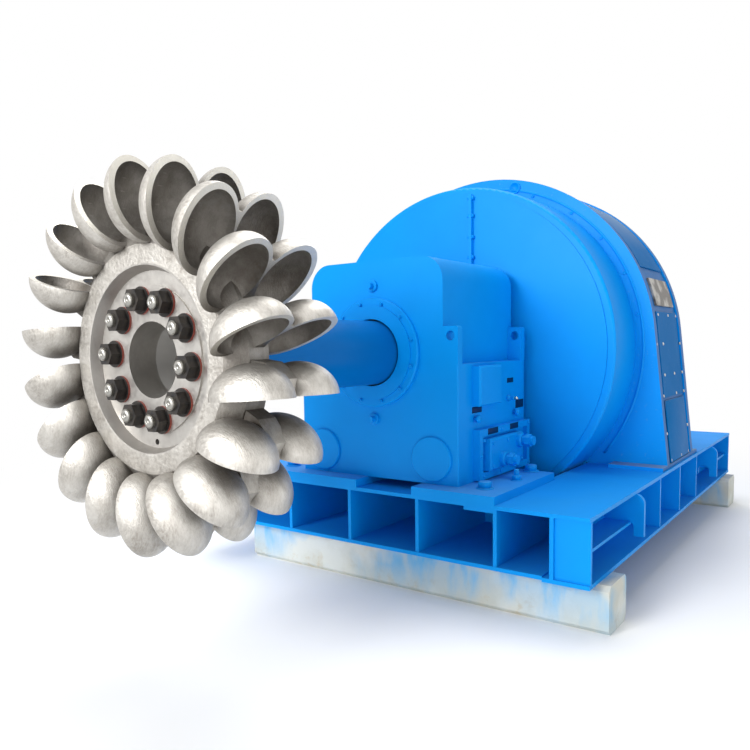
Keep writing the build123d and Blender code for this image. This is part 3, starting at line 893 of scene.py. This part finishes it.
camera_data = bpy.data.cameras.new("camera")
camera = bpy.data.objects.new("camera", camera_data)
bpy.context.scene.collection.objects.link(camera)
camera.matrix_world = Matrix.Translation(EYE) @ turn.to_4x4()
camera_data.sensor_width = SENSOR
camera_data.sensor_fit = "HORIZONTAL"
camera_data.lens = SENSOR * FOCAL_PIXELS / PHOTO_PIXELS
camera_data.shift_x = (PHOTO_PIXELS / 2.0 - CENTRE_PIXELS[0]) / PHOTO_PIXELS
camera_data.shift_y = (CENTRE_PIXELS[1] - PHOTO_PIXELS / 2.0) / PHOTO_PIXELS
camera_data.clip_end = 200.0
bpy.context.scene.camera = camera
print("camera at", tuple(round(v, 3) for v in EYE), "lens", round(camera_data.lens, 2), "mm")

# %% [markdown]
# The floor takes the machine's shadow close by and fades to pure white further out, so that the
# picture has no horizon. The fade is measured from the middle of the machine. Only what the
# camera, a reflection or a refraction sees turns white, so the floor adds no light of its own.

# %% Floor
FLOOR_MIDDLE = (0.0, 1.2, 0.0)
SHADOW_REACH = 1.9
WHITE_FROM = 5.2
FLOOR_HALF = 60.0


def seen(f):
    rays = [
        f.node("ShaderNodeLightPath", out=name)
        for name in ("Is Camera Ray", "Is Glossy Ray", "Is Transmission Ray")
    ]
    return f.sum("MAXIMUM", f.sum("MAXIMUM", rays[0], rays[1]), rays[2])


def floor_finish():
    f = Finish("studio_floor")
    offset = f.node(
        "ShaderNodeVectorMath", {"operation": "SUBTRACT"}, {0: f.place(), 1: FLOOR_MIDDLE}
    )
    away = f.node("ShaderNodeVectorMath", {"operation": "LENGTH"}, {0: offset}, out="Value")
    fade = f.node(
        "ShaderNodeMapRange",
        {"interpolation_type": "SMOOTHSTEP"},
        {"Value": away, "From Min": SHADOW_REACH, "From Max": WHITE_FROM},
    )
    tone = f.mix(0.4 * f.noise(0.8, 3.0, 0.5), grey(0.92), grey(0.88))
    matt = f.node("ShaderNodeBsdfDiffuse", inputs={"Color": tone})
    white = f.node("ShaderNodeEmission", inputs={"Color": grey(1.0), "Strength": 1.0})
    ground = f.node("ShaderNodeMixShader", inputs={0: fade * seen(f), 1: matt, 2: white})
    f.node("ShaderNodeOutputMaterial", inputs={"Surface": ground})
    return f.material


def floor_piece():
    mesh = bpy.data.meshes.new("studio_floor")
    shape = bmesh.new()
    bmesh.ops.create_grid(shape, x_segments=8, y_segments=8, size=FLOOR_HALF)
    shape.to_mesh(mesh)
    shape.free()
    floor = bpy.data.objects.new("studio_floor", mesh)
    bpy.context.scene.collection.objects.link(floor)
    mesh.materials.append(floor_finish())


floor_piece()
print("floor is white from", WHITE_FROM, "m on")

# %% [markdown]
# The sky lights the machine softly from all round, a little cooler than the lamps. What the
# camera and reflections see of it is plain white, like the floor far away.

# %% Sky
class World(Finish):
    def __init__(self, name):
        world = bpy.data.worlds.new(name)
        bpy.context.scene.world = world
        world.use_nodes = True
        self.tree = world.node_tree
        self.tree.nodes.clear()


SKY_COLOUR = (0.92, 0.96, 1.0)
SKY_STRENGTH = 0.48
sky = World("studio")
soft = sky.node(
    "ShaderNodeBackground", inputs={"Color": opaque(SKY_COLOUR), "Strength": SKY_STRENGTH}
)
white = sky.node("ShaderNodeBackground", inputs={"Color": grey(1.0), "Strength": 1.0})
both = sky.node("ShaderNodeMixShader", inputs={0: seen(sky), 1: soft, 2: white})
sky.node("ShaderNodeOutputWorld", inputs={"Surface": both})
print("sky strength", SKY_STRENGTH)

# %% [markdown]
# The main light is a large lamp high up, ahead of the machine and to its left. So the faces that
# look forward are the brightest, and the sides that look right are a shade darker. Four weaker
# lamps lift the lower edges, the tops, the right side and the back.

# %% Lamps
def lamp(name, place, aim, size, power):
    data = bpy.data.lights.new(name, "AREA")
    data.shape = "DISK"
    data.size = size
    data.energy = power
    piece = bpy.data.objects.new(name, data)
    bpy.context.scene.collection.objects.link(piece)
    piece.location = place
    piece.rotation_euler = (Vector(aim) - Vector(place)).to_track_quat("-Z", "Y").to_euler()


lamp("key", (-1.2, -7.5, 4.0), (0.0, 0.5, 1.0), 3.5, 560.0)
lamp("low", (2.8, -7.0, 1.3), (0.3, 0.0, 0.7), 3.0, 95.0)
lamp("top", (-0.5, 1.5, 7.5), (0.0, 0.8, 0.8), 5.0, 290.0)
lamp("side", (7.5, -0.5, 1.2), (0.6, 0.8, 0.3), 3.0, 80.0)
lamp("back", (-3.5, 8.5, 5.0), (0.0, 1.4, 1.0), 4.0, 260.0)
bpy.context.scene.view_settings.view_transform = "Standard"
